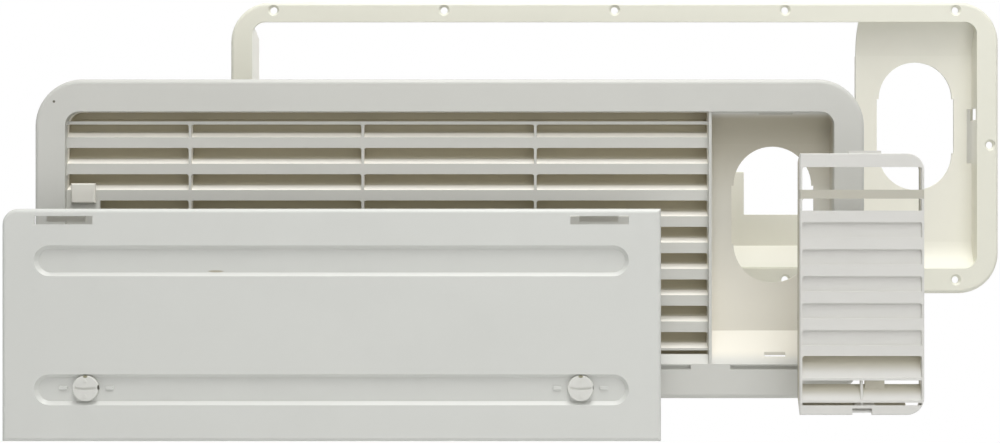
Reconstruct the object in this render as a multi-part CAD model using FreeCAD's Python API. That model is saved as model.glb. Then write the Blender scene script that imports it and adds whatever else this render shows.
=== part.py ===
import FreeCAD, Part
import math
import os

from FreeCAD import Vector

os.makedirs("parts", exist_ok=True)

# A wall vent for a caravan refrigerator, taken apart into its mouldings.
# Millimetres. X runs to the right, Y into the wall, Z up. The wall's outer skin is the plane Y = 0.
# The origin is the middle of the mounting frame's screw holes. Every moulding is drawn in its fitted
# place, where they nest in each other, and is then moved by its own step to where it is laid out.

# Vent grille: the recess in its face, split into the louvre field and the flue recess.
field_width = 408.0
divider_wall = 1.8
flue_width = 77.6
recess_height = 159.9
recess_corner = 8.8
collar_wall = 1.5
shell_wall = 1.8
shell_standoff = 2.0
face_round = 3.0
inner_round = 1.2
divider_setback = 1.0

# Louvres: lips in one front plate, with blades that rise behind them.
louvre_setback = 5.0
lip_plate = 1.6
louvre_pitch = 16.75
lip_height = 6.7
first_lip_drop = 16.1
lip_count = 8
rail_drop = 6.0
rail_height = 1.9
window_round = 1.6
blade_wall = 1.4
blade_run_low = 5.0
blade_rise_low = 3.8
blade_run_high = 3.0
blade_overlap = 2.2
last_lip_height = 0.8
last_window_extra = 0.2
rib_pitch = 109.9
rib_wall = 1.6
rib_count = 3

# Floor of the recess, the drain slots under its front edge and the gutter behind them.
floor_rise = 20.2
floor_lip = 2.0
field_floor_rise = 5.8
drain_height = 2.7
drain_drop = 0.8
drain_bridge_left = 11.6
drain_bridge_right = 11.6
drain_end = 10.0
gutter_rise = 7.0
gutter_kink = 3.4
gutter_sill = 10.1
gutter_inset = 0.3
gutter_end = 8.0
gutter_flue_reach = 2.0

# Flue recess: coved ceiling, back wall and the flue opening.
flue_depth = 14.0
flue_cove = 20.0
flue_shift = 2.0
flue_drop = 65.3
flue_radius = 25.1
flue_half_width = 26.4
flue_centres = 37.2
hook_slit_width = 21.4
hook_slit_gap = 1.6
hook_slit_setback = 2.2
snap_slit_width = 13.5
snap_slit_gap = 1.6
snap_slit_setback = 4.6

# Mounting frame.
frame_side_band = 14.6
frame_top_band = 13.4
frame_bottom_band = 16.9
frame_corner = 27.0
frame_flange = 3.2
frame_round = 2.6
frame_wall = 1.8
frame_depth = 28.0
frame_floor_rise = 16.0
pan_depth = 9.0
pan_cove_top = 22.0
pan_cove_bottom = 18.0
pan_edge_height = 2.0
screw_pitch = 115.6
screw_columns = 5
screw_inset_top = 5.6
screw_inset_bottom = 9.2
screw_inset_side = 5.8
screw_radius = 2.4
countersink_radius = 3.8
keeper_height = 37.2
keeper_centre = 6.7
keeper_head = 8.0
keeper_wide = 3.4

# Clearances between the fitted mouldings.
collar_gap_side = 0.4
collar_gap_top = 3.2
collar_gap_bottom = 1.1
rim_gap_side = 1.0
rim_gap_end = 0.7
cover_gap = 1.1
insert_gap_side = 1.0
insert_gap_end = 0.4
face_sink = 0.2
moving_gap = 0.3
shaft_gap = 0.1

# Slide latches behind the left end of the louvres.
latch_plate_width = 21.0
latch_tab_width = 15.4
latch_tab_height = 12.5
latch_tab_rise = 4.1
latch_tab_depth = 2.4
latch_tab_round = 1.0
latch_neck_height = 3.2
latch_neck_width = 7.0
latch_neck_inset = 1.0
latch_tongue_wall = 1.6
latch_tongue_height = 5.6
latch_tongue_reach = 2.6
latch_tip_round = 1.2
latch_travel = 6.0
latch_window_upper = 3
latch_window_lower = 6

# Winter cover that closes the louvre field.
cover_height = 143.3
cover_wall = 1.8
cover_depth = 4.2
cover_corner = 9.8
cover_round = 2.6
channel_inset_side = 20.0
channel_inset_end = 22.5
channel_height = 19.0
channel_depth = 2.8
channel_floor = 1.6
channel_draft = 2.2
cover_slot_width = 36.0
cover_slot_height = 5.2
cover_slot_inset = 20.0
cover_slot_drop = 4.4
hook_wall = 1.4
hook_width = 24.0
hook_drop = 3.0

# Turn knobs in the cover's lower channel.
knob_window = 6
knob_inset_left = 51.6
knob_inset_right = 49.6
knob_radius = 8.0
knob_round = 0.8
knob_head = 2.4
knob_shaft_radius = 2.4
knob_slot_width = 1.6
knob_slot_depth = 1.2
cam_wall = 1.4
cam_reach = 8.5
mark_spacing = 14.4
mark_length = 5.2
mark_height = 2.6
mark_rise = 0.5

# Flue insert: a small louvred grille that closes the flue recess.
insert_wall = 1.6
insert_side = 1.4
insert_depth = 8.0
insert_corner = 10.6
insert_slots = ((8.4, 22.2), (27.6, 34.9))
insert_first_step = 41.9
insert_pitch = 16.4
insert_step_height = 9.3
insert_step_count = 5
insert_step_depth = 1.5
insert_window_top = 123.2
insert_blade_edge = 136.6
insert_blade_lip = 1.5
insert_slat_top = 140.8
insert_slat_edge = 150.2
insert_foot_top = 153.3
insert_bar_depth = 3.0
snap_width = 12.0
snap_notch_height = 4.0
snap_wall = 1.2
snap_reach = 4.0
snap_lift = 0.6
hook_tab_width = 20.0
hook_tab_rise = 1.6
web_width = 12.0
web_shift = 8.5
web_setback = 4.2

# Steps that lay the mouldings out beside each other, in front of the mounting frame.
grille_step = Vector(-109.6, -66.2, -60.95)
cover_step = Vector(-141.7, -95.5, -121.7)
insert_step = Vector(-62.5, -107.1, -88.75)

# Widths and heights that follow from the sizes above.
recess_width = field_width + divider_wall + flue_width
recess_left = -recess_width / 2
recess_right = recess_width / 2
field_right = recess_left + field_width
flue_left = field_right + divider_wall

opening_width = recess_width + 2 * (collar_wall + collar_gap_side)
opening_height = recess_height + 2 * collar_wall + collar_gap_top + collar_gap_bottom
frame_width = opening_width + 2 * frame_side_band
frame_height = opening_height + frame_top_band + frame_bottom_band
screw_rows = frame_height - screw_inset_top - screw_inset_bottom
frame_top = screw_rows / 2 + screw_inset_top
frame_bottom = frame_top - frame_height
opening_top = frame_top - frame_top_band
opening_bottom = opening_top - opening_height
frame_opening_corner = recess_corner - collar_gap_side

recess_top = opening_top - collar_gap_top - collar_wall
recess_floor = recess_top - recess_height
grille_half_width = frame_width / 2 + rim_gap_side + shell_wall
grille_top = frame_top + rim_gap_end + shell_wall
grille_bottom = frame_bottom - rim_gap_end - shell_wall
grille_corner = frame_corner + rim_gap_side + shell_wall

# Depths, from the wall's skin towards the viewer as negative Y.
flange_front = -frame_flange
shell_back = flange_front - shell_standoff
face_front = shell_back - shell_wall
lip_front = face_front + louvre_setback
lip_back = lip_front + lip_plate
flue_back = face_front + flue_depth
floor_front = face_front + floor_lip
floor_slope = floor_rise / (flue_depth - floor_lip)
blade_back = lip_back + blade_run_low + blade_run_high
cover_front = face_front + face_sink
channel_bed = cover_front + channel_depth
channel_back = channel_bed + channel_floor

flue_x = (flue_left + recess_right) / 2 + flue_shift
flue_z = recess_top - flue_drop
pan_width = flue_width + collar_wall + collar_gap_side
knob_height = recess_top - first_lip_drop - knob_window * louvre_pitch + (louvre_pitch - lip_height) / 2


def block(x0, x1, y0, y1, z0, z1):
    """A plain box between two corners."""
    return Part.makeBox(x1 - x0, y1 - y0, z1 - z0, Vector(x0, y0, z0))


def rounded_face(x0, x1, z0, z1, y, radii):
    """A rectangle facing Y with its own radius at each corner: low left, low right, high right, high left."""
    corners = [(x0, z0, 180), (x1, z0, 270), (x1, z1, 0), (x0, z1, 90)]
    inward = [(1, 1), (-1, 1), (-1, -1), (1, -1)]
    edges = []
    ends = []
    for (x, z, start), (sx, sz), radius in zip(corners, inward, radii):
        if radius <= 0:
            ends.append((Vector(x, y, z), Vector(x, y, z)))
            continue
        centre = Vector(x + sx * radius, y, z + sz * radius)
        points = []
        for angle in (start, start + 45, start + 90):
            turn = math.radians(angle)
            points.append(centre + Vector(radius * math.cos(turn), 0, radius * math.sin(turn)))
        edges.append(Part.Arc(*points).toShape())
        ends.append((points[0], points[2]))
    for here, after in zip(ends, ends[1:] + ends[:1]):
        if here[1].distanceToPoint(after[0]) > 1e-6:
            edges.append(Part.LineSegment(here[1], after[0]).toShape())
    return Part.Face(Part.Wire(Part.__sortEdges__(edges)))


def plate(x0, x1, y0, y1, z0, z1, radii):
    """A flat plate across the view, rounded at its corners."""
    if not isinstance(radii, tuple):
        radii = (radii, radii, radii, radii)
    return rounded_face(x0, x1, z0, z1, y0, radii).extrude(Vector(0, y1 - y0, 0))


def profile(points, x0, x1):
    """A section drawn in depth and height, drawn out along the width."""
    corners = [Vector(x0, y, z) for y, z in points]
    face = Part.Face(Part.makePolygon(corners + corners[:1]))
    return face.extrude(Vector(x1 - x0, 0, 0))


def sheet(points, wall, x0, x1):
    """A bent sheet along a line of points, with its thickness below and behind the line."""
    upper = [Vector(0, y, z) for y, z in points]
    lower = []
    for index, point in enumerate(upper):
        before = upper[max(index - 1, 0)]
        after = upper[min(index + 1, len(upper) - 1)]
        first = (point - before) if index > 0 else (after - point)
        second = (after - point) if index < len(upper) - 1 else (point - before)
        first.normalize()
        second.normalize()
        normal = Vector(0, first.z + second.z, -first.y - second.y)
        normal.normalize()
        stretch = wall / (normal.y * first.z - normal.z * first.y)
        lower.append(point + normal * stretch)
    section = upper + lower[::-1]
    return profile([(point.y, point.z) for point in section], x0, x1)


def pin(x, z, radius, y0, y1):
    """A round bar along the depth."""
    return Part.makeCylinder(radius, y1 - y0, Vector(x, y0, z), Vector(0, 1, 0))


def join(solids):
    """One moulding out of touching or overlapping solids."""
    return solids[0].multiFuse(solids[1:]).removeSplitter()


def front_edges(solid, y):
    """The outline edges that lie in one plane across the view."""
    return [edge for edge in solid.Edges
            if abs(edge.BoundBox.YMin - y) < 1e-6 and abs(edge.BoundBox.YMax - y) < 1e-6]


def flue_hole(y0, y1):
    """The flue opening: two half rounds joined by a slightly wider straight part."""
    high = flue_z + flue_centres / 2
    low = flue_z - flue_centres / 2
    middle = block(flue_x - flue_half_width, flue_x + flue_half_width, y0, y1, low, high)
    return join([pin(flue_x, high, flue_radius, y0, y1), pin(flue_x, low, flue_radius, y0, y1), middle])


def coved_section(front, back, top, bottom, cove_top, cove_bottom, x):
    """A section that leaves the front edges on a curve and runs into an upright back."""
    depth = back - front

    def cove(rise, z_edge, way):
        radius = (rise * rise + depth * depth) / (2 * depth)
        centre = Vector(x, back - radius, z_edge - way * rise)
        swing = math.acos((radius - depth) / radius) / 2
        middle = centre + Vector(0, radius * math.cos(swing), way * radius * math.sin(swing))
        start = Vector(x, front, z_edge)
        end = Vector(x, back, z_edge - way * rise)
        return start, middle, end

    top_start, top_middle, top_end = cove(cove_top, top, 1)
    low_start, low_middle, low_end = cove(cove_bottom, bottom, -1)
    edges = [
        Part.Arc(top_start, top_middle, top_end).toShape(),
        Part.LineSegment(top_end, low_end).toShape(),
        Part.Arc(low_end, low_middle, low_start).toShape(),
        Part.LineSegment(low_start, top_start).toShape(),
    ]
    return Part.Face(Part.Wire(edges))


def mounting_frame():
    """The frame that is screwed over the cut-out in the wall."""
    half = frame_width / 2
    edge = opening_width / 2
    flange = plate(-half, half, flange_front, 0, frame_bottom, frame_top, frame_corner)
    flange = flange.makeFillet(frame_round, front_edges(flange, flange_front))
    floor = sheet([(-frame_flange / 2, opening_bottom), (frame_depth, opening_bottom + frame_floor_rise)],
                  frame_wall, -edge - frame_wall, edge + frame_wall)
    pieces = [flange, floor]
    for side in (-1, 1):
        inner = side * edge
        outer = side * (edge + frame_wall)
        low = opening_bottom + frame_floor_rise
        wall = profile([(-frame_flange / 2, opening_bottom), (frame_depth, low),
                        (frame_depth, opening_top - frame_opening_corner), (-frame_flange / 2, opening_top)],
                       min(inner, outer), max(inner, outer))
        pieces.append(wall)

    pan_left = edge - pan_width
    hollow = coved_section(0, pan_depth, opening_top, opening_bottom, pan_cove_top, pan_cove_bottom, pan_left)
    hollow = hollow.extrude(Vector(edge - pan_left, 0, 0))
    jacket = coved_section(0, pan_depth + frame_wall, opening_top + frame_wall, opening_bottom - frame_wall,
                           pan_cove_top, pan_cove_bottom, pan_left)
    jacket = jacket.extrude(Vector(edge + frame_wall - pan_left, 0, 0))
    pan_edge = block(pan_left, pan_left + frame_wall, pan_depth, pan_depth + frame_wall + pan_edge_height,
                     opening_bottom + pan_cove_bottom, opening_top - pan_cove_top)
    pieces.extend([jacket, pan_edge])
    body = join(pieces)

    clear = plate(-edge, edge, flange_front - 1, 0, opening_bottom, opening_top, frame_opening_corner)
    cuts = [clear, hollow, flue_hole(0, pan_depth + 2 * frame_wall + pan_edge_height)]
    screw_half = screw_pitch * (screw_columns - 1) / 2
    places = []
    for column in range(screw_columns):
        x = column * screw_pitch - screw_half
        places.append((x, frame_top - screw_inset_top))
        places.append((x, frame_bottom + screw_inset_bottom))
    places.append((-half + screw_inset_side, 0))
    places.append((half - screw_inset_side, 0))
    sink = countersink_radius - screw_radius
    for x, z in places:
        cuts.append(pin(x, z, screw_radius, flange_front - 1, 1))
        cuts.append(Part.makeCone(countersink_radius, screw_radius, sink,
                                  Vector(x, flange_front, z), Vector(0, 1, 0)))

    keeper_low = keeper_centre - keeper_height / 2
    keeper_high = keeper_centre + keeper_height / 2
    keeper_back = pan_depth + 2 * frame_wall
    cuts.append(block(edge - keeper_wide, edge, 0, keeper_back, keeper_low, keeper_high))
    cuts.append(block(edge - keeper_wide, edge + 2 * frame_wall, 0, keeper_back,
                      keeper_high - keeper_head, keeper_high))
    for window in (latch_window_upper, latch_window_lower):
        middle = tongue_height_at(window)
        reach = latch_tongue_height / 2 + 2 * moving_gap
        cuts.append(block(-edge - 2 * frame_wall, -edge + 1, 0, latch_tongue_wall + 4 * moving_gap,
                          middle - reach, middle + reach))
    return body.cut(cuts)


def lip_top(index):
    """Height of the top edge of one louvre lip, counted from 0 at the top."""
    return recess_top - first_lip_drop - index * louvre_pitch


def tongue_height_at(window):
    """Height of the middle of a latch tongue, behind the lip above that window."""
    return lip_top(window - 1) - lip_height / 2


def louvre_field():
    """Front plate with its windows, the blades behind them and the upright ribs."""
    last_lip = lip_top(lip_count) - last_window_extra
    plate_bottom = last_lip - last_lip_height
    field = block(recess_left, field_right, lip_front, lip_back, plate_bottom, recess_top - rail_drop)
    windows = [(recess_top - rail_drop - rail_height, lip_top(0))]
    for index in range(lip_count - 1):
        windows.append((lip_top(index) - lip_height, lip_top(index + 1)))
    windows.append((lip_top(lip_count - 1) - lip_height, last_lip))

    posts = [recess_left] + [field_right - step * rib_pitch for step in range(rib_count, 0, -1)] + [field_right]
    cuts = []
    for high, low in windows:
        for number, (left, right) in enumerate(zip(posts, posts[1:])):
            start = left if number == 0 else left + rib_wall / 2
            end = right if number == rib_count else right - rib_wall / 2
            cuts.append(plate(start, end, lip_front - 1, lip_back + 1, low, high,
                              (0, 0, window_round, window_round)))
    field = field.cut(cuts)

    pieces = [field]
    for number, (high, low) in enumerate(windows):
        rise = louvre_pitch - lip_height + blade_overlap
        line = [(lip_front, low), (lip_back, low), (lip_back + blade_run_low, low + blade_rise_low),
                (blade_back, low + rise)]
        if number == 0:
            line.append((blade_back, recess_top + collar_wall / 2))
        pieces.append(sheet(line, blade_wall, recess_left, field_right))
    for x in posts[1:-1]:
        pieces.append(block(x - rib_wall / 2, x + rib_wall / 2, lip_back - lip_plate / 2, blade_back,
                            plate_bottom, recess_top - rail_drop))
    for window in (latch_window_upper, latch_window_lower):
        high, low = windows[window]
        pieces.append(block(recess_left, recess_left + latch_plate_width, lip_front, lip_back,
                            low - lip_height / 2, high + lip_height / 2))
    return pieces


def latch_left():
    """Left edge of a finger tab, clear of the side of the cover."""
    return recess_left + cover_gap + cover_wall + moving_gap


def latch_room(window):
    """Room that one slide latch needs in the louvres and in the collar's left wall."""
    middle = tongue_height_at(window)
    neck = latch_neck_height / 2 + moving_gap
    slot_left = latch_left() + latch_neck_inset - moving_gap
    slot_right = slot_left + latch_neck_width + latch_travel + 2 * moving_gap
    slot = block(slot_left, slot_right, lip_front - 1, lip_back + 1, middle - neck, middle + neck)
    reach = latch_tongue_height / 2 + moving_gap
    run = block(recess_left - 2 * collar_wall, latch_left() + latch_tab_width + latch_travel + moving_gap, 0,
                latch_tongue_wall + 2 * moving_gap, middle - reach, middle + reach)
    return [slot, run]


def vent_grille():
    """The face, its collar, the louvre field and the flue recess in one moulding."""
    shell = plate(-grille_half_width, grille_half_width, face_front, 0, grille_bottom, grille_top, grille_corner)
    shell = shell.makeFillet(face_round, front_edges(shell, face_front))
    room = plate(-grille_half_width + shell_wall, grille_half_width - shell_wall, shell_back, 1,
                 grille_bottom + shell_wall, grille_top - shell_wall, grille_corner - shell_wall)
    room = room.makeFillet(inner_round, front_edges(room, shell_back))
    shell = shell.cut(room)

    collar_back = flue_back + collar_wall
    outside = plate(recess_left - collar_wall, recess_right + collar_wall, face_front + shell_wall / 2, collar_back,
                    recess_floor - collar_wall, recess_top + collar_wall, recess_corner + collar_wall)
    inside = plate(recess_left, recess_right, face_front - 1, collar_back + 1, recess_floor, recess_top,
                   recess_corner)
    gutter_low = recess_floor - drain_drop - drain_height - gutter_inset
    gutter_back = collar_back - collar_wall
    gutter_line = [(shell_back, gutter_low), (shell_back + 2 * gutter_inset, gutter_low + gutter_kink),
                   (gutter_back, recess_floor + gutter_rise)]
    under = profile([(shell_back, gutter_low - collar_wall), (collar_back + 1, gutter_low - collar_wall),
                     (collar_back + 1, recess_floor + gutter_rise)] + gutter_line[::-1],
                    -grille_half_width, grille_half_width)
    jacket = coved_section(face_front, collar_back, recess_top + collar_wall, recess_floor, flue_cove,
                           floor_rise, flue_left)
    jacket = jacket.extrude(Vector(flue_width + 2 * collar_wall, 0, 0))
    above = block(flue_left, grille_half_width, shell_back, collar_back + 1, flue_z, grille_top).cut(jacket)
    thick = collar_wall * math.hypot(1, floor_slope)
    flue_under = profile([(gutter_flue_reach, gutter_low - collar_wall), (collar_back + 1, gutter_low - collar_wall),
                          (collar_back + 1, recess_floor + floor_slope * (collar_back + 1 - floor_front) - thick),
                          (gutter_flue_reach, recess_floor + floor_slope * (gutter_flue_reach - floor_front) - thick)],
                         flue_left, grille_half_width)
    collar = outside.cut([inside, under, flue_under, above])

    flue_block = block(flue_left, recess_right + collar_wall / 2, face_front + shell_wall, collar_back,
                       recess_floor, recess_top)
    cove = coved_section(face_front, flue_back, recess_top, recess_floor, flue_cove, floor_rise, flue_left)
    cove = cove.extrude(Vector(flue_width, 0, 0))
    hollow_top = flue_z
    upper_cut = cove.common(block(flue_left, recess_right, face_front - 1, collar_back + 1, hollow_top, recess_top))
    lower_cut = profile([(face_front - 1, hollow_top), (flue_back, hollow_top),
                         (flue_back, recess_floor + floor_rise), (floor_front, recess_floor),
                         (face_front - 1, recess_floor)], flue_left, recess_right)
    upper = flue_block.common(jacket).common(
        block(flue_left, recess_right + collar_wall, face_front, collar_back, hollow_top, recess_top))
    lower = profile([(floor_front, hollow_top), (collar_back, hollow_top),
                     (collar_back, recess_floor + floor_rise + floor_slope * collar_wall - thick),
                     (floor_front, recess_floor - collar_wall)], flue_left, recess_right + collar_wall / 2)
    pan = join([upper, lower]).cut([upper_cut, lower_cut]).common(outside)

    divider = profile([(face_front + divider_setback, recess_floor), (face_front + divider_setback, recess_top),
                       (collar_back, recess_top), (collar_back, recess_floor + floor_rise),
                       (face_front + divider_setback, recess_floor - collar_wall)], field_right, flue_left)
    field_run = field_floor_rise / floor_slope
    field_floor = sheet([(floor_front - shell_wall, recess_floor), (floor_front, recess_floor),
                         (floor_front + field_run, recess_floor + field_floor_rise)],
                        collar_wall, recess_left, field_right).common(outside)
    gutter = sheet(gutter_line + [(gutter_back, recess_floor + gutter_sill)], collar_wall,
                   recess_left + gutter_end, recess_right - gutter_end)
    gutter = gutter.cut([upper_cut, lower_cut, block(flue_left, recess_right, gutter_flue_reach, collar_back + 1,
                                                     gutter_low - collar_wall, flue_z)])
    body = join([shell.cut(inside), collar, pan, divider, field_floor, gutter] + louvre_field())

    cuts = [flue_hole(0, collar_back + 1)]
    drain_high = recess_floor - drain_drop
    for left, right in ((recess_left + drain_end, field_right - drain_bridge_left),
                        (flue_left + drain_bridge_right, recess_right - drain_end)):
        cuts.append(block(left, right, face_front - 1, shell_back, drain_high - drain_height, drain_high))
    hook_y = face_front + hook_slit_setback
    cuts.append(block(flue_x - hook_slit_width / 2, flue_x + hook_slit_width / 2, hook_y, hook_y + hook_slit_gap,
                      recess_top - flue_cove / 2, recess_top + 2 * collar_wall))
    snap_y = face_front + snap_slit_setback
    snap_z = recess_floor + floor_slope * (snap_slit_setback - floor_lip)
    cuts.append(block(flue_x - snap_slit_width / 2, flue_x + snap_slit_width / 2, snap_y, snap_y + snap_slit_gap,
                      snap_z - 4 * collar_wall, snap_z + 2 * collar_wall))
    for window in (latch_window_upper, latch_window_lower):
        cuts.extend(latch_room(window))
    return body.cut(cuts)


def slide_latch(window):
    """A finger tab in front of the louvres and the tongue behind them that locks into the frame."""
    middle = tongue_height_at(window)
    left = latch_left()
    tab_top = lip_top(window - 1) + latch_tab_rise
    tab_back = lip_front - moving_gap
    tab_front = tab_back - latch_tab_depth
    tab = block(left, left + latch_tab_width, tab_front, tab_back, tab_top - latch_tab_height, tab_top)
    tab = tab.makeFillet(latch_tab_round, front_edges(tab, tab_front))
    neck_half = latch_neck_height / 2
    neck_left = left + latch_neck_inset
    tongue_front = moving_gap
    neck = block(neck_left, neck_left + latch_neck_width, tab_back - latch_tab_depth / 2,
                 tongue_front + latch_tongue_wall / 2, middle - neck_half, middle + neck_half)
    tip = -opening_width / 2 - frame_wall - latch_tongue_reach
    reach = latch_tongue_height / 2
    tongue = plate(tip, left + latch_tab_width, tongue_front, tongue_front + latch_tongue_wall,
                   middle - reach, middle + reach, (latch_tip_round, moving_gap, moving_gap, latch_tip_round))
    return join([tab, neck, tongue])


def winter_cover():
    """The panel that closes the louvres in winter, with two channels, two tool slots and two hooks."""
    left = recess_left + cover_gap
    right = field_right - cover_gap
    top = recess_top - cover_gap
    bottom = top - cover_height
    radii = (0, 0, 0, cover_corner)
    panel = plate(left, right, cover_front, cover_front + cover_depth, bottom, top, radii)
    panel = panel.makeFillet(cover_round, front_edges(panel, cover_front))
    hollow = plate(left + cover_wall, right - cover_wall, cover_front + cover_wall, cover_front + cover_depth + 1,
                   bottom + cover_wall, top - cover_wall, (0, 0, 0, cover_corner - cover_wall))
    panel = panel.cut(hollow)

    beds = []
    cuts = []
    end_round = channel_height / 2
    for low in (bottom + channel_inset_end, top - channel_inset_end - channel_height):
        x0 = left + channel_inset_side
        x1 = right - channel_inset_side
        beds.append(plate(x0 - channel_floor / 2, x1 + channel_floor / 2, cover_front + cover_wall / 2,
                          channel_back, low - channel_floor / 2, low + channel_height + channel_floor / 2,
                          end_round + channel_floor / 2))
        channel = plate(x0, x1, cover_front - 1, channel_bed, low, low + channel_height, end_round)
        cuts.append(channel.makeChamfer(channel_draft, front_edges(channel, channel_bed)))
    slot_high = top - cover_slot_drop
    hooks = []
    for x0 in (left + cover_slot_inset, right - cover_slot_inset - cover_slot_width):
        cuts.append(block(x0, x0 + cover_slot_width, cover_front - 1, cover_front + cover_depth,
                          slot_high - cover_slot_height, slot_high))
        middle = x0 + cover_slot_width / 2
        rail_high = recess_top - rail_drop
        arm_low = rail_high + moving_gap
        hook_front = lip_back + moving_gap
        hook_back = hook_front + hook_wall
        hooks.append(profile([(cover_front + cover_wall / 2, arm_low), (hook_front, arm_low),
                              (hook_front, rail_high - hook_drop), (hook_back, rail_high - hook_drop),
                              (hook_back, arm_low + hook_wall), (cover_front + cover_wall / 2, arm_low + hook_wall)],
                             middle - hook_width / 2, middle + hook_width / 2))
    for x in knob_places():
        cuts.append(pin(x, knob_height, knob_shaft_radius + shaft_gap, cover_front - 1, channel_back + 1))
        cuts.append(pin(x, knob_height, knob_radius + moving_gap, cover_front - 1, channel_bed))
    marks = []
    for x in knob_places():
        for side in (-1, 1):
            middle = x + side * mark_spacing
            marks.append(plate(middle - mark_length / 2, middle + mark_length / 2, channel_bed - mark_rise,
                               channel_bed + channel_floor / 2, knob_height - mark_height / 2,
                               knob_height + mark_height / 2, mark_height / 3))
    return join([join([panel] + beds).cut(cuts)] + hooks + marks)


def knob_places():
    """Where the two knobs stand along the cover."""
    return (recess_left + cover_gap + knob_inset_left, field_right - cover_gap - knob_inset_right)


def turn_knob(x):
    """A knob with a coin slot, its shaft through the cover and the cam that turns behind a lip."""
    head_back = channel_bed - 2 * shaft_gap
    head = pin(x, knob_height, knob_radius, head_back - knob_head, head_back)
    head = head.makeFillet(knob_round, front_edges(head, head_back - knob_head))
    slot = block(x - knob_radius, x + knob_radius, head_back - knob_head - 1,
                 head_back - knob_head + knob_slot_depth, knob_height - knob_slot_width / 2,
                 knob_height + knob_slot_width / 2)
    cam_front = lip_back + moving_gap
    shaft = pin(x, knob_height, knob_shaft_radius, head_back - knob_head / 2, cam_front + cam_wall)
    cam = plate(x - knob_shaft_radius, x + knob_shaft_radius, cam_front, cam_front + cam_wall,
                knob_height, knob_height + cam_reach, (0, 0, 1.2, 1.2))
    return join([head.cut(slot), shaft, cam])


def flue_insert():
    """A small grille that closes the flue recess: two open slots, closed steps, two open blades and a foot."""
    left = flue_left + insert_gap_side
    right = recess_right - insert_gap_side
    top = recess_top - insert_gap_end
    bottom = recess_floor + insert_gap_end
    front = cover_front
    back = front + insert_depth
    radii = (0, insert_corner, insert_corner, 0)
    shell = plate(left, right, front, back, bottom, top, radii)
    shell = shell.makeFillet(insert_side / 2, front_edges(shell, front))
    hollow = plate(left + insert_side, right - insert_side, front + insert_wall, back + 1,
                   bottom + insert_side, top - insert_side,
                   (0, insert_corner - insert_side, insert_corner - insert_side, 0))
    room = coved_section(face_front, flue_back, top, bottom, flue_cove, floor_rise, flue_left)
    room_top = room.extrude(Vector(flue_width, 0, 0))
    room_low = profile([(face_front, bottom), (floor_front, bottom), (flue_back, bottom + floor_rise),
                        (flue_back, flue_z), (face_front, flue_z)], flue_left, recess_right)
    room = room_top.cut(block(flue_left, recess_right, face_front, flue_back, bottom - 1, flue_z)).fuse(room_low)

    def at(drop):
        return top - drop

    x0 = left + insert_side
    x1 = right - insert_side
    body = shell.cut(hollow)
    cuts = []
    extra = []
    for high, low in insert_slots:
        cuts.append(plate(x0, x1, front - 1, back, at(low), at(high), (0, 0, window_round, window_round)))
    for index in range(insert_step_count):
        high = insert_first_step + index * insert_pitch
        low = high + insert_step_height
        cuts.append(plate(x0, x1, front - 1, front + insert_step_depth, at(low), at(high),
                          (0, 0, window_round, window_round)))
        extra.append(block(left + insert_side / 2, right - insert_side / 2, front + insert_step_depth,
                           front + insert_step_depth + insert_side, at(low) - 1, at(high) + 1))
    foot_cut = at(insert_foot_top)
    cuts.append(plate(x0, x1, front - 1, front + insert_wall + 1, foot_cut, at(insert_window_top),
                      (0, 0, window_round, window_round)))
    body = body.cut(cuts)

    def blade(edge, upper, lip):
        rise = at(upper) - at(edge)
        run = min(rise * 0.6, insert_depth - insert_wall)
        lip_piece = block(x0 - insert_side / 2, x1 + insert_side / 2, front, front + insert_side,
                          at(edge) - lip, at(edge))
        return [lip_piece, sheet([(front, at(edge)), (front + insert_side, at(edge)),
                                  (front + run, at(edge) + rise)], blade_wall,
                                 x0 - insert_side / 2, x1 + insert_side / 2)]

    extra.extend(blade(insert_blade_edge, insert_window_top - insert_side, insert_blade_lip))
    extra.extend(blade(insert_slat_edge, insert_slat_top, insert_side / 2))
    middle = (left + right) / 2
    extra.append(block(middle - insert_side / 2, middle + insert_side / 2, front + insert_side, front + insert_side * 3,
                       foot_cut - 1, at(insert_blade_edge) - insert_side))
    bar_high, bar_low = at(insert_slots[0][1]), at(insert_slots[1][0])
    extra.append(block(x0 - insert_side / 2, x1 + insert_side / 2, front, front + insert_bar_depth,
                       bar_low, bar_high))
    notch = block(middle - snap_width / 2, middle + snap_width / 2, front - 1, front + insert_wall + 1,
                  bottom - 1, bottom + snap_notch_height)
    body = join([body] + extra).common(room).cut(notch)

    web = block(middle + web_shift - web_width / 2, middle + web_shift + web_width / 2, front + web_setback,
                front + web_setback + insert_side, at(insert_slat_top) - 2 * insert_side, at(insert_blade_edge) + 4)
    hook_front = face_front + hook_slit_setback + (hook_slit_gap - snap_wall) / 2
    hook = block(flue_x - hook_tab_width / 2, flue_x + hook_tab_width / 2, hook_front, hook_front + snap_wall,
                 top - 2 * insert_side, top + hook_tab_rise)
    snap_front = face_front + snap_slit_setback + (snap_slit_gap - snap_wall) / 2
    snap_back = snap_front + snap_wall
    snap_floor = recess_floor + floor_slope * (snap_back - floor_front)
    root = front + insert_wall / 2
    arm = profile([(root, foot_cut - snap_lift / 2), (snap_back, snap_floor + snap_lift + snap_wall),
                   (snap_back, snap_floor - snap_reach), (snap_front, snap_floor - snap_reach),
                   (snap_front, snap_floor - snap_lift), (root, bottom + snap_notch_height)],
                  flue_x - snap_width / 2, flue_x + snap_width / 2)
    return join([body, web, hook, arm])


pieces = {}
pieces["mounting_frame"] = (mounting_frame(), Vector(0, 0, 0))
pieces["vent_grille"] = (vent_grille(), grille_step)
pieces["slide_latch_upper"] = (slide_latch(latch_window_upper), grille_step)
pieces["slide_latch_lower"] = (slide_latch(latch_window_lower), grille_step)
pieces["winter_cover"] = (winter_cover(), cover_step)
pieces["turn_knob_left"] = (turn_knob(knob_places()[0]), cover_step)
pieces["turn_knob_right"] = (turn_knob(knob_places()[1]), cover_step)
pieces["flue_insert"] = (flue_insert(), insert_step)

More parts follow.
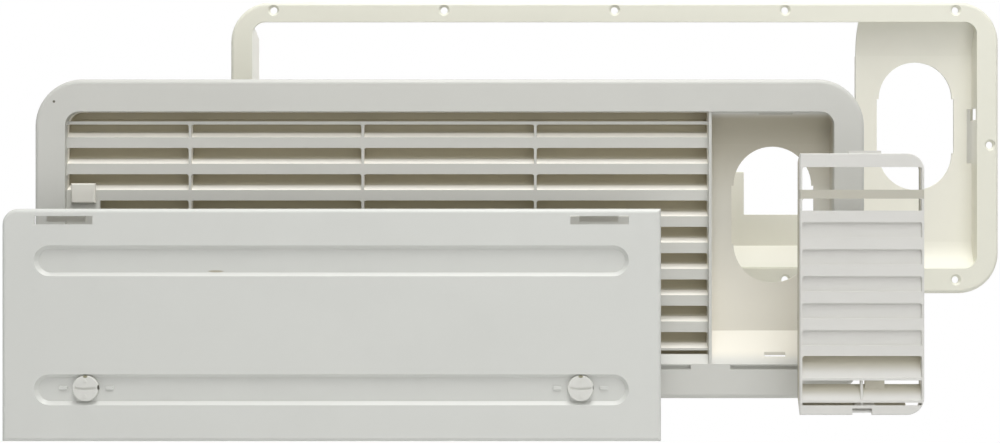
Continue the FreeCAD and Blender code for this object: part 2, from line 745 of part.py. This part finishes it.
for name, (solid, step) in pieces.items():
    laid_out = solid.copy()
    laid_out.translate(step)
    laid_out.exportStep("parts/" + name + ".step")
    box = laid_out.BoundBox
    print(name, "solids", len(laid_out.Solids), "valid", laid_out.isValid(), "volume", round(laid_out.Volume),
          "x %.1f %.1f y %.1f %.1f z %.1f %.1f" % (box.XMin, box.XMax, box.YMin, box.YMax, box.ZMin, box.ZMax))
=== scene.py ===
# %% [markdown]
# # A refrigerator vent, laid out in its mouldings
#
# The object is a plastic wall vent for a caravan refrigerator, taken apart: a mounting frame, a louvred
# grille with two slide latches, a winter cover with two turn knobs and a small insert for the flue opening.
# The solid model gives it its shape and its real size. This scene adds the plastics, the light and the
# camera, and a few thin or small pieces: the frame's rear rim, the insert's sill, the faces of the knobs and
# the dashes beside them.

import math

import bmesh
import bpy
from mathutils import Matrix, Vector


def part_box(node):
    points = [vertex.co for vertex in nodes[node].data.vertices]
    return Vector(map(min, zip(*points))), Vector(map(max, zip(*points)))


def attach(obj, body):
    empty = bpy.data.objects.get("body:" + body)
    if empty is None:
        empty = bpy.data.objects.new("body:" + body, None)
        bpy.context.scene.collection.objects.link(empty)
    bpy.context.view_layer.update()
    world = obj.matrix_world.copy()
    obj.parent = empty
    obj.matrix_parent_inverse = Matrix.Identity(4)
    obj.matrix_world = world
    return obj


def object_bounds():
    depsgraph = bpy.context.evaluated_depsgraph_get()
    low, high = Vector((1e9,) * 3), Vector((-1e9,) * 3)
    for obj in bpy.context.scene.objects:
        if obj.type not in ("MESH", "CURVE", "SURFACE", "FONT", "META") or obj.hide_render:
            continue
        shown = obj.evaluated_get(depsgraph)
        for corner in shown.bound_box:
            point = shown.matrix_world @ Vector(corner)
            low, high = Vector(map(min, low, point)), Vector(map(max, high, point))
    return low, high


MM = 0.001

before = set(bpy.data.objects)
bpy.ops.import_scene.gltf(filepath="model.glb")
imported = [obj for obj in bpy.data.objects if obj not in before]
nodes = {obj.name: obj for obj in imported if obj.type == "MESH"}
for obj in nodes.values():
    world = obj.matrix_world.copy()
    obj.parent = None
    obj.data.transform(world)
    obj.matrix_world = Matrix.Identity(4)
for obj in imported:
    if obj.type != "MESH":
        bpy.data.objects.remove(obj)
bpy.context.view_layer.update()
for name in sorted(nodes):
    low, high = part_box(name)
    size = [round((top - bottom) / MM, 1) for bottom, top in zip(low, high)]
    print(name, "is", size, "mm")

# %% [markdown]
# ## A small language for shaders
#
# A node material soon becomes a web that nobody can read. Here a socket is wrapped in a small class, so
# that `1 - mask * 0.3` adds its own Math nodes, and every other node comes from one method that takes the
# node's type, its settings and what goes into its sockets.

# %% Sockets that take part in Python maths
class Value:
    """A socket of a shader node, with the operators that this scene uses."""

    def __init__(self, recipe, socket):
        self.recipe = recipe
        self.socket = socket

    def __add__(self, other):
        return self.recipe.maths("ADD", self, other)

    __radd__ = __add__

    def __sub__(self, other):
        return self.recipe.maths("SUBTRACT", self, other)

    def __rsub__(self, other):
        return self.recipe.maths("SUBTRACT", other, self)

    def __mul__(self, other):
        return self.recipe.maths("MULTIPLY", self, other)

    __rmul__ = __mul__


class Recipe:
    """One node tree, and the method that adds a node to it."""

    def __init__(self, tree):
        self.tree = tree
        self.tree.nodes.clear()

    def node(self, kind, settings, inlets, outlet=0):
        """Adds a node, sets it up, fills its sockets and returns one of its outputs."""
        made = self.tree.nodes.new(kind)
        for key, value in settings.items():
            setattr(made, key, value)
        for key, value in inlets.items():
            if isinstance(value, Value):
                self.tree.links.new(value.socket, made.inputs[key])
            else:
                made.inputs[key].default_value = value
        return Value(self, made.outputs[outlet]) if len(made.outputs) else made

    def maths(self, operation, first, second):
        return self.node("ShaderNodeMath", {"operation": operation}, {0: first, 1: second})

    def ramp(self, value, start, end):
        """0 below start, 1 above end and a smooth rise between them."""
        return self.node("ShaderNodeMapRange", {"interpolation_type": "SMOOTHSTEP"},
                         {"Value": value, "From Min": start, "From Max": end})

    def rise(self, value, stretch):
        """The same ramp for a length, over a stretch that is given in millimetres."""
        return self.ramp(value, stretch[0] * MM, stretch[1] * MM)

    def blend(self, amount, first, second):
        """A colour between two colours."""
        return self.node("ShaderNodeMix", {"data_type": "RGBA"}, {0: amount, 6: first, 7: second}, outlet=2)

    def place(self):
        """The point on the object, in metres, as a vector and as its three numbers."""
        point = self.node("ShaderNodeTexCoord", {}, {}, outlet="Object")
        numbers = [self.node("ShaderNodeSeparateXYZ", {}, {0: point}, outlet=axis) for axis in range(3)]
        return point, numbers


print("shader helpers ready")

# %% [markdown]
# ## The plastics
#
# The mouldings are moulded plastic, in slightly different off-whites. A moulded face isn't mirror-smooth: it
# carries the fine grain of its mould, which spreads every highlight. Grain could be carved into the mesh,
# but at 0.02 mm deep a bump shows the same for nothing. Large soft clouds in colour and roughness keep a wide
# flat face from looking computed. Deep in a recess the plastic looks warmer, because light reaches it only
# after it has bounced off other walls. The renderer makes part of that, and a tone that changes with depth
# gives the rest.

# %% A moulded plastic
def srgb(red, green, blue):
    """A colour as given on screen, turned into linear light."""
    def linear(level):
        level /= 255
        return level / 12.92 if level <= 0.04045 else ((level + 0.055) / 1.055) ** 2.4
    return (linear(red), linear(green), linear(blue), 1)


GRAIN_SIZE = 0.7 * MM
GRAIN_DEPTH = 0.02 * MM
GRAIN_DETAIL = 2.0
GRAIN_STRENGTH = 0.25
CLOUD_SIZE = 60 * MM
CLOUD_DETAIL = 3.0
CLOUD_EDGE = (0.45, 0.75)
CLOUD_STRENGTH = 0.35
CLOUD_SHADE = 0.94
SATIN = 0.42
SATIN_DRIFT = 0.1


def plastic(name, face, depth_light_and_shade, marks=()):
    """Satin plastic with a tone for its face and, further back, a painted shade or painted bounce light for
    each layer of depth.

    A layer is the y where it starts and the y where it is complete, in millimetres, and its tone. A mark is
    a function that gives the mark's amount and its tone."""
    material = bpy.data.materials.new(name)
    material.use_nodes = True
    recipe = Recipe(material.node_tree)
    point, (x, y, z) = recipe.place()
    clouds = recipe.node("ShaderNodeTexNoise", {},
                         {"Vector": point, "Scale": 1 / CLOUD_SIZE, "Detail": CLOUD_DETAIL})
    grain = recipe.node("ShaderNodeTexNoise", {},
                        {"Vector": point, "Scale": 1 / GRAIN_SIZE, "Detail": GRAIN_DETAIL})
    colour = face
    # Painted shade or painted bounce light, which changes with depth in the recesses.
    for start, end, tone in depth_light_and_shade:
        colour = recipe.blend(recipe.rise(y, (start, end)), colour, tone)
    shade = [channel * CLOUD_SHADE for channel in face[:3]] + [1]
    colour = recipe.blend(recipe.ramp(clouds, *CLOUD_EDGE) * CLOUD_STRENGTH, colour, shade)
    for mark in marks:
        amount, tone = mark(recipe, x, y, z)
        colour = recipe.blend(amount, colour, tone)
    bump = recipe.node("ShaderNodeBump", {},
                       {"Strength": GRAIN_STRENGTH, "Distance": GRAIN_DEPTH, "Height": grain})
    shader = recipe.node("ShaderNodeBsdfPrincipled", {},
                         {"Base Color": colour, "Roughness": clouds * SATIN_DRIFT + SATIN, "Normal": bump})
    recipe.node("ShaderNodeOutputMaterial", {}, {"Surface": shader})
    return material


def dress(material, *names):
    """Gives CAD nodes a material of their own."""
    for name in names:
        slots = nodes[name].data.materials
        slots.clear()
        slots.append(material)
        print(name, "wears", material.name)


print("a grain of", GRAIN_SIZE / MM, "mm")

# %% [markdown]
# ## Painted light and shade inside the grille
#
# In the picture the slopes above the louvres' lips are much brighter than the lips, the rear of the louvres
# is brown, and the flue recess runs from a brown ceiling to a pale foot. One set of soft lamps doesn't give
# all of that at once, so it is painted: a painted highlight on the slopes, painted shade at the rear of the
# louvres and in the ceiling's cove, and painted light at the foot. These tones could be painted on the mesh,
# but a mask that is worked out from the point on the object needs no unwrapping, and it starts and ends at a
# depth or a height that can be read here.

# %% Louvres and flue recess
FIELD_EDGE = (54.7, 55.7)
SLOPE_START = (-66.9, -66.4)
SLOPE_END = (-63.0, -61.0)
REAR_START = (-63.5, -61.0)
RECESS_WALL = (-71.5, -66.0)
RECESS_TOP = (-45.0, 12.0)
RECESS_LOW = (-110.0, -45.0)


def in_recess(recipe, x):
    """1 in the flue recess, 0 on the louvres beside it."""
    return recipe.rise(x, FIELD_EDGE)


def painted_slope_highlight(recipe, x, y, z):
    """A painted highlight on the slopes above the lips, much paler than the face, where they face up into the
    light.
    """
    slope = recipe.rise(y, SLOPE_START) * (1 - recipe.rise(y, SLOPE_END))
    return slope * (1 - in_recess(recipe, x)), srgb(250, 247, 238)


def painted_louvre_rear_shade(recipe, x, y, z):
    """Painted shade at the rear of the louvres, browner and darker than their front, where little light gets
    in.
    """
    return recipe.rise(y, REAR_START) * (1 - in_recess(recipe, x)), srgb(168, 160, 136)


def painted_ceiling_shade(recipe, x, y, z):
    """Painted shade in the cove at the top of the flue recess, a browner, darker tone where little light
    comes in.
    """
    cove = recipe.rise(z, RECESS_TOP) * recipe.rise(y, RECESS_WALL)
    return cove * in_recess(recipe, x), srgb(172, 166, 148)


def painted_foot_light(recipe, x, y, z):
    """Painted light at the lower end of the flue recess, a paler tone where the light falls in."""
    foot = (1 - recipe.rise(z, RECESS_LOW)) * recipe.rise(y, RECESS_WALL)
    return foot * in_recess(recipe, x), srgb(228, 224, 211)


print("louvres end at", FIELD_EDGE[0], "mm, where the recess begins")

# %% [markdown]
# ## Marks that are drawn by place
#
# A nick, a smudge or a small shadow is too small to be worth a shape of its own. Two more functions make such
# marks: an oval with a soft edge, and a level band. Each one hands back a function, so that a list of marks
# can be given to a plastic.

# %% Spots and bands
SPOT_EDGE = (0.4, 1.3)


def spot(x0, z0, half_width, half_height, tone):
    """A soft-edged oval mark on a front face, in millimetres."""
    def mark(recipe, x, y, z):
        across = (x - x0 * MM) * (1 / (half_width * MM))
        up = (z - z0 * MM) * (1 / (half_height * MM))
        return 1 - recipe.ramp(across * across + up * up, *SPOT_EDGE), tone
    return mark


def band(low, high, soft, tone):
    """A level band of another tone, in millimetres."""
    def mark(recipe, x, y, z):
        return recipe.rise(z, (low, low + soft)) * (1 - recipe.rise(z, (high - soft, high))), tone
    return mark


print("a spot fades from", SPOT_EDGE[0], "to", SPOT_EDGE[1], "of its size, squared")

# %% [markdown]
# ## Each moulding's own tone
#
# The frame is the warmest piece, an ivory. The grille is a little greyer, and the cover and the insert are
# nearly neutral. Each has one tone at its face and another behind it, over the depth of its own recesses: a
# painted bounce light, paler and warmer, for the frame and the grille, and a painted shade, darker, for the
# latches, the cover, the knobs and the insert.
# One material for all of them would be shorter, but the picture shows that they differ a little, and the
# small difference tells them apart where they overlap.

# %% Dress the frame, the grille and the latches
frame_plastic = plastic("ivory_frame", srgb(228, 227, 213), [(0, 8, srgb(232, 230, 217))])
dress(frame_plastic, "mounting_frame")

corner_nick = spot(-360.2, 24.2, half_width=0.9, half_height=0.9, tone=srgb(96, 92, 80))
grille_plastic = plastic("grille_offwhite", srgb(200, 200, 194), [(-70, -62, srgb(206, 203, 191))],
                         [painted_slope_highlight, painted_louvre_rear_shade, painted_ceiling_shade, painted_foot_light, corner_nick])
dress(grille_plastic, "vent_grille")

latch_plastic = plastic("latch_offwhite", srgb(222, 220, 211), [(-69, -63, srgb(204, 200, 187))])
dress(latch_plastic, "slide_latch_upper", "slide_latch_lower")

# %% Dress the cover, the knobs and the insert
channel_smudge = spot(-252.9, -82.5, half_width=5.0, half_height=0.7, tone=srgb(176, 170, 152))
cover_plastic = plastic("cover_offwhite", srgb(209, 210, 205), [(-100, -95, srgb(205, 203, 194))],
                        [channel_smudge])
dress(cover_plastic, "winter_cover")

KNOB_X = {"left": -332.7, "right": -28.1}
KNOB_Z = -154.43
NOTCH_RISE = 7.3
CRESCENT_REACH = 8.0
CRESCENT_RISE = 0.6
# Painted shade on each knob: a dark olive spot where the pointer notch at its top lies in shade, and a dark
# crescent where a slit near its right edge lies in shade.
knob_notch_and_slit_shade = []
for x in KNOB_X.values():
    knob_notch_and_slit_shade.append(spot(x, KNOB_Z + NOTCH_RISE, half_width=1.5, half_height=0.9,
                           tone=srgb(128, 125, 98)))
    knob_notch_and_slit_shade.append(spot(x + CRESCENT_REACH, KNOB_Z + CRESCENT_RISE, half_width=0.7, half_height=1.7,
                           tone=srgb(84, 82, 72)))
knob_plastic = plastic("knob_offwhite", srgb(214, 214, 208), [(-101, -96, srgb(168, 166, 152))], knob_notch_and_slit_shade)
dress(knob_plastic, "turn_knob_left", "turn_knob_right")

# Painted shade: a darker level band on the bar between the insert's two upper slots, where the rounded bar
# lies in shade.
insert_bar_shade = band(-38.4, -32.0, soft=0.8, tone=srgb(184, 181, 168))
# The insert's layers are painted shade in two steps, darkest in the hollow behind its slats.
insert_plastic = plastic("insert_offwhite", srgb(213, 212, 207),
                         [(-112, -109, srgb(196, 191, 172)), (-109, -106.5, srgb(140, 134, 112))],
                         [insert_bar_shade])
dress(insert_plastic, "flue_insert")

# %% [markdown]
# ## The frame's rear rim
#
# Behind the opening the frame's sloping floor ends in a low upstand, and a short post stands on it beside the
# flue pan. Both are one flat plate with a stepped outline. A box for each would leave a seam where they
# meet, so the outline is drawn as one face, extruded for its thickness, and every edge is broken with a
# small bevel.

# %% A helper for flat pieces
EDGE_STEPS = 2


def finished(name, mesh, material, body):
    """Turns a bmesh into a piece that rides on a body."""
    data = bpy.data.meshes.new(name)
    mesh.to_mesh(data)
    mesh.free()
    data.materials.append(material)
    piece = bpy.data.objects.new(name, data)
    bpy.context.collection.objects.link(piece)
    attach(piece, body)
    print(name, "has", len(data.polygons), "faces")
    return piece


def thickened(name, corners, step, bevel, material, body):
    """A flat outline pushed out along a step, with bevelled edges, as a piece on a body."""
    mesh = bmesh.new()
    face = mesh.faces.new([mesh.verts.new(Vector(corner) * MM) for corner in corners])
    made = bmesh.ops.extrude_face_region(mesh, geom=[face])
    moved = [item for item in made["geom"] if isinstance(item, bmesh.types.BMVert)]
    bmesh.ops.translate(mesh, vec=Vector(step) * MM, verts=moved)
    bmesh.ops.recalc_face_normals(mesh, faces=mesh.faces)
    bmesh.ops.bevel(mesh, geom=mesh.edges[:], offset=bevel * MM, segments=EDGE_STEPS, profile=0.5,
                    affect="EDGES", material=-1)
    return finished(name, mesh, material, body)


print("an edge is rounded in", EDGE_STEPS, "steps")

# %% Upstand and post
RIM_BACK = 28.0
RIM_WALL = 1.8
RIM_BEVEL = 0.4
RIM_LEFT = -243.8
RIM_RIGHT = 164.5
RIM_FOOT = -69.0
RIM_TOP = -46.95
POST_LEFT = 72.1
POST_RIGHT = 92.1
POST_TOP = -17.2
rim_outline = [(RIM_LEFT, RIM_FOOT), (RIM_RIGHT, RIM_FOOT), (RIM_RIGHT, RIM_TOP), (POST_RIGHT, RIM_TOP),
               (POST_RIGHT, POST_TOP), (POST_LEFT, POST_TOP), (POST_LEFT, RIM_TOP), (RIM_LEFT, RIM_TOP)]
thickened("frame_rear_rim", [(x, RIM_BACK, z) for x, z in rim_outline], (0, -RIM_WALL, 0), RIM_BEVEL,
          frame_plastic, "vent")

# %% [markdown]
# ## The insert's sloping sill
#
# Under its last slat the insert is closed by a sill that slopes down to the front, so that water runs out.
# It is a thin sheet, drawn in side view and extruded along the width, because its section is the same from
# end to end.

# %% Sill of the flue insert
SILL_LEFT = 106.0
SILL_RIGHT = 170.0
SILL_FRONT = (-112.6, -167.0)
SILL_REAR = (-106.2, -161.0)
SILL_WALL = 1.2
SILL_BEVEL = 0.2
sill = [(SILL_LEFT, y, z - drop) for (y, z), drop in ((SILL_FRONT, 0), (SILL_REAR, 0), (SILL_REAR, SILL_WALL),
                                                     (SILL_FRONT, SILL_WALL))]
thickened("insert_sill", sill, (SILL_RIGHT - SILL_LEFT, 0, 0), SILL_BEVEL, insert_plastic, "vent")

# %% [markdown]
# ## The knobs' faces
#
# Each knob ends in a low disc with a slot that hangs in a shallow curve, like a smile, and with two small
# round pips. The disc is a short cylinder with a rounded rim. The slot comes from a bar that is spun about
# a centre high above the knob and taken away with a Boolean, which keeps its two walls exactly parallel.

# %% Discs and the bar that cuts them
KNOB_FRONT = -102.1
DISC_RADIUS = 7.9
DISC_RISE = 0.7
DISC_SIDES = 64
DISC_BEVEL = 0.4
DISC_STEPS = 3
SLOT_BEND = 22.0
SLOT_REACH = 6.3
SLOT_WIDTH = 1.5
SLOT_DROP = 0.3
SLOT_FLOOR = 0.05
SLOT_STEPS = 16


def drum(mesh, centre, radius, depth, segments):
    """A short cylinder that stands on a centre point and rises towards the front."""
    place = Matrix.Translation((Vector(centre) + Vector((0, -depth / 2, 0))) * MM)
    turn = Matrix.Rotation(math.radians(90), 4, "X")
    bmesh.ops.create_cone(mesh, cap_ends=True, segments=segments, radius1=radius * MM, radius2=radius * MM,
                          depth=depth * MM, matrix=place @ turn)


def smile_bar(x):
    """The bar that cuts the curved slot, from in front of the disc to just above its foot."""
    mesh = bmesh.new()
    pivot = Vector((x, 0, KNOB_Z - SLOT_DROP + SLOT_BEND))
    low_y, high_y = KNOB_FRONT - 2 * DISC_RISE, KNOB_FRONT - SLOT_FLOOR
    inner, outer = SLOT_BEND - SLOT_WIDTH / 2, SLOT_BEND + SLOT_WIDTH / 2
    start = math.asin(SLOT_REACH / SLOT_BEND)
    section = [(low_y, inner), (high_y, inner), (high_y, outer), (low_y, outer)]
    corners = [Vector((x - radius * math.sin(start), y, pivot.z - radius * math.cos(start))) * MM
               for y, radius in section]
    face = mesh.faces.new([mesh.verts.new(corner) for corner in corners])
    bmesh.ops.spin(mesh, geom=[face], cent=pivot * MM, axis=(0, -1, 0), angle=2 * start, steps=SLOT_STEPS,
                   use_merge=False, dvec=(0, 0, 0))
    bmesh.ops.recalc_face_normals(mesh, faces=mesh.faces)
    data = bpy.data.meshes.new("smile_bar")
    mesh.to_mesh(data)
    mesh.free()
    return bpy.data.objects.new("smile_bar", data)


def cut_away(piece, cutter):
    """Takes one solid away from another for good."""
    bpy.context.collection.objects.link(cutter)
    boolean = piece.modifiers.new("slot", "BOOLEAN")
    boolean.object = cutter
    boolean.solver = "EXACT"
    bpy.context.view_layer.update()
    cut = bpy.data.meshes.new_from_object(piece.evaluated_get(bpy.context.evaluated_depsgraph_get()))
    piece.modifiers.clear()
    piece.data = cut
    bpy.data.objects.remove(cutter)


print("a slot of", 2 * SLOT_REACH, "by", SLOT_WIDTH, "mm in a disc of", 2 * DISC_RADIUS, "mm")

# %% Knob faces and pips
PIP_REACH = 4.7
PIP_RADIUS = 0.8
PIP_RISE = 0.5
PIP_SIDES = 20
for side, x in KNOB_X.items():
    mesh = bmesh.new()
    drum(mesh, (x, KNOB_FRONT, KNOB_Z), DISC_RADIUS, DISC_RISE, DISC_SIDES)
    rim = [edge for edge in mesh.edges
           if all(corner.co.y < (KNOB_FRONT - DISC_RISE / 2) * MM for corner in edge.verts)]
    bmesh.ops.bevel(mesh, geom=rim, offset=DISC_BEVEL * MM, segments=DISC_STEPS, profile=0.5,
                    affect="EDGES", material=-1)
    disc = finished("knob_disc_" + side, mesh, knob_plastic, side + "_knob")
    cut_away(disc, smile_bar(x))
    mesh = bmesh.new()
    for reach in (-PIP_REACH, PIP_REACH):
        drum(mesh, (x, KNOB_FRONT - DISC_RISE, KNOB_Z + reach), PIP_RADIUS, PIP_RISE, PIP_SIDES)
    finished("knob_pips_" + side, mesh, knob_plastic, side + "_knob")

# %% [markdown]
# ## Dashes beside the knobs
#
# Two raised dashes in the channel show where a knob points when it is shut. They are small bars with
# rounded edges, drawn as rectangles just below the channel's floor and pushed out to the front, so that no
# gap shows under them.

# %% Dashes
CHANNEL_BED = -99.5
DASH_PLACE = 14.4
DASH_LENGTH = 5.2
DASH_HEIGHT = 2.2
DASH_ROOT = 0.1
DASH_DEPTH = 1.2
DASH_BEVEL = 0.35
for side, x in KNOB_X.items():
    for number, way in enumerate((-1, 1), 1):
        middle_x = x + way * DASH_PLACE
        foot_y = CHANNEL_BED + DASH_ROOT
        corners = [(middle_x + across * DASH_LENGTH / 2, foot_y, KNOB_Z + up * DASH_HEIGHT / 2)
                   for across, up in ((-1, -1), (1, -1), (1, 1), (-1, 1))]
        thickened("cover_dash_%s_%d" % (side, number), corners, (0, -DASH_DEPTH, 0), DASH_BEVEL,
                  cover_plastic, "vent")

# %% [markdown]
# ## Floor and background
#
# A catalogue picture of loose mouldings floats them on pure white. A pale floor lies below and catches their
# shadow, and away from them it turns into the white of the world. A strong lamp on the floor would make it
# white too, but it would also light the mouldings from below. A material that shines white only where it is
# looked at does it without.

# %% Pale floor
FLOOR_DROP = 110 * MM
FLOOR_SIZE = 12.0
FLOOR_TONE = (0.86, 0.86, 0.86, 1)
SHADOW_REACH = 0.45
SHADOW_END = 0.68
WHITE = (1, 1, 1, 1)


def looked_at(recipe):
    """1 for what the camera sees, directly or in a shiny or clear thing, and 0 for the light itself."""
    direct, shiny, clear = [recipe.node("ShaderNodeLightPath", {}, {}, outlet=name)
                            for name in ("Is Camera Ray", "Is Glossy Ray", "Is Transmission Ray")]
    return direct + shiny + clear


low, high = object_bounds()
floor_height = low[2] - FLOOR_DROP
sheet = bmesh.new()
bmesh.ops.create_grid(sheet, x_segments=1, y_segments=1, size=FLOOR_SIZE / 2,
                      matrix=Matrix.Translation((0, 0, floor_height)))
floor_mesh = bpy.data.meshes.new("floor")
sheet.to_mesh(floor_mesh)
sheet.free()
floor = bpy.data.objects.new("floor", floor_mesh)
bpy.context.collection.objects.link(floor)

floor_material = bpy.data.materials.new("pale_floor")
floor_material.use_nodes = True
recipe = Recipe(floor_material.node_tree)
point = recipe.place()[0]
distance = recipe.node("ShaderNodeVectorMath", {"operation": "LENGTH"}, {0: point}, outlet="Value")
far = recipe.ramp(distance, SHADOW_REACH, SHADOW_END)
matt = recipe.node("ShaderNodeBsdfDiffuse", {}, {"Color": FLOOR_TONE})
white = recipe.node("ShaderNodeEmission", {}, {"Color": WHITE, "Strength": 1.0})
ground = recipe.node("ShaderNodeMixShader", {}, {0: far * looked_at(recipe), 1: matt, 2: white})
recipe.node("ShaderNodeOutputMaterial", {}, {"Surface": ground})
floor_mesh.materials.append(floor_material)
print("floor at", round(floor_height / MM), "mm")

# %% White world
AMBIENT = 0.17

world = bpy.data.worlds.new("studio")
bpy.context.scene.world = world
world.use_nodes = True
recipe = Recipe(world.node_tree)
white = recipe.node("ShaderNodeBackground", {}, {"Color": WHITE, "Strength": 1.0})
soft = recipe.node("ShaderNodeBackground", {}, {"Color": WHITE, "Strength": AMBIENT})
sky = recipe.node("ShaderNodeMixShader", {}, {0: looked_at(recipe), 1: soft, 2: white})
recipe.node("ShaderNodeOutputWorld", {}, {"Surface": sky})
print("the world lights with", AMBIENT, "of its white")

# %% [markdown]
# ## Light
#
# The front faces are evenly grey and every upward slope is brighter, so most of the light comes softly from
# above. A softbox further forward opens the recesses, weak ones at the sides round the edges off, and one
# behind keeps the rear from going dark. Bright lamps would turn the palest plastics to plain white, so the
# lamps stay low enough for the tones to come out about as they are written.

# %% Soft lamps
def softbox(name, place, aim, size, power):
    """A square area lamp at a place, turned towards a point."""
    data = bpy.data.lights.new(name, "AREA")
    data.shape = "SQUARE"
    data.size = size
    data.energy = power
    lamp = bpy.data.objects.new(name, data)
    bpy.context.collection.objects.link(lamp)
    lamp.location = place
    lamp.rotation_euler = (Vector(aim) - Vector(place)).to_track_quat("-Z", "Y").to_euler()


# A lamp's place is counted from the middle of the model. Place and size are in metres, power in watts.
LAMPS = [("overhead", (0.1, -0.5, 1.8), 0.9, 26),
         ("front_top", (0.1, -1.2, 1.3), 0.9, 12),
         ("left_side", (-1.9, -1.0, 0.4), 0.9, 2),
         ("right_side", (1.3, -1.7, 0.1), 0.9, 4.5),
         ("behind", (0.3, 2.4, 0.5), 1.2, 10)]
middle = (Vector(low) + Vector(high)) / 2
for name, offset, size, power in LAMPS:
    softbox(name, middle + Vector(offset), middle, size, power)
print("lamps aim at", [round(value, 3) for value in middle])

# %% [markdown]
# ## Camera
#
# The picture was taken square on, from about a metre. The mouldings lie at different depths, so those in
# front look larger, and that fixes both the distance and the lens.

# %% Camera
PICTURE_WIDTH = 1000
FOCAL_PIXELS = 1579
SENSOR = 36.0
CAMERA_PLACE = (-77.7, -1073.2, -51.8)

view = bpy.data.cameras.new("camera")
view.sensor_fit = "HORIZONTAL"
view.sensor_width = SENSOR
view.lens = FOCAL_PIXELS / PICTURE_WIDTH * SENSOR
view.clip_start = 0.01
camera = bpy.data.objects.new("camera", view)
bpy.context.collection.objects.link(camera)
camera.location = Vector(CAMERA_PLACE) * MM
camera.rotation_euler = (math.radians(90), 0, 0)
bpy.context.scene.camera = camera
bpy.context.scene.view_settings.view_transform = "Standard"
print("lens", round(view.lens, 2), "mm")
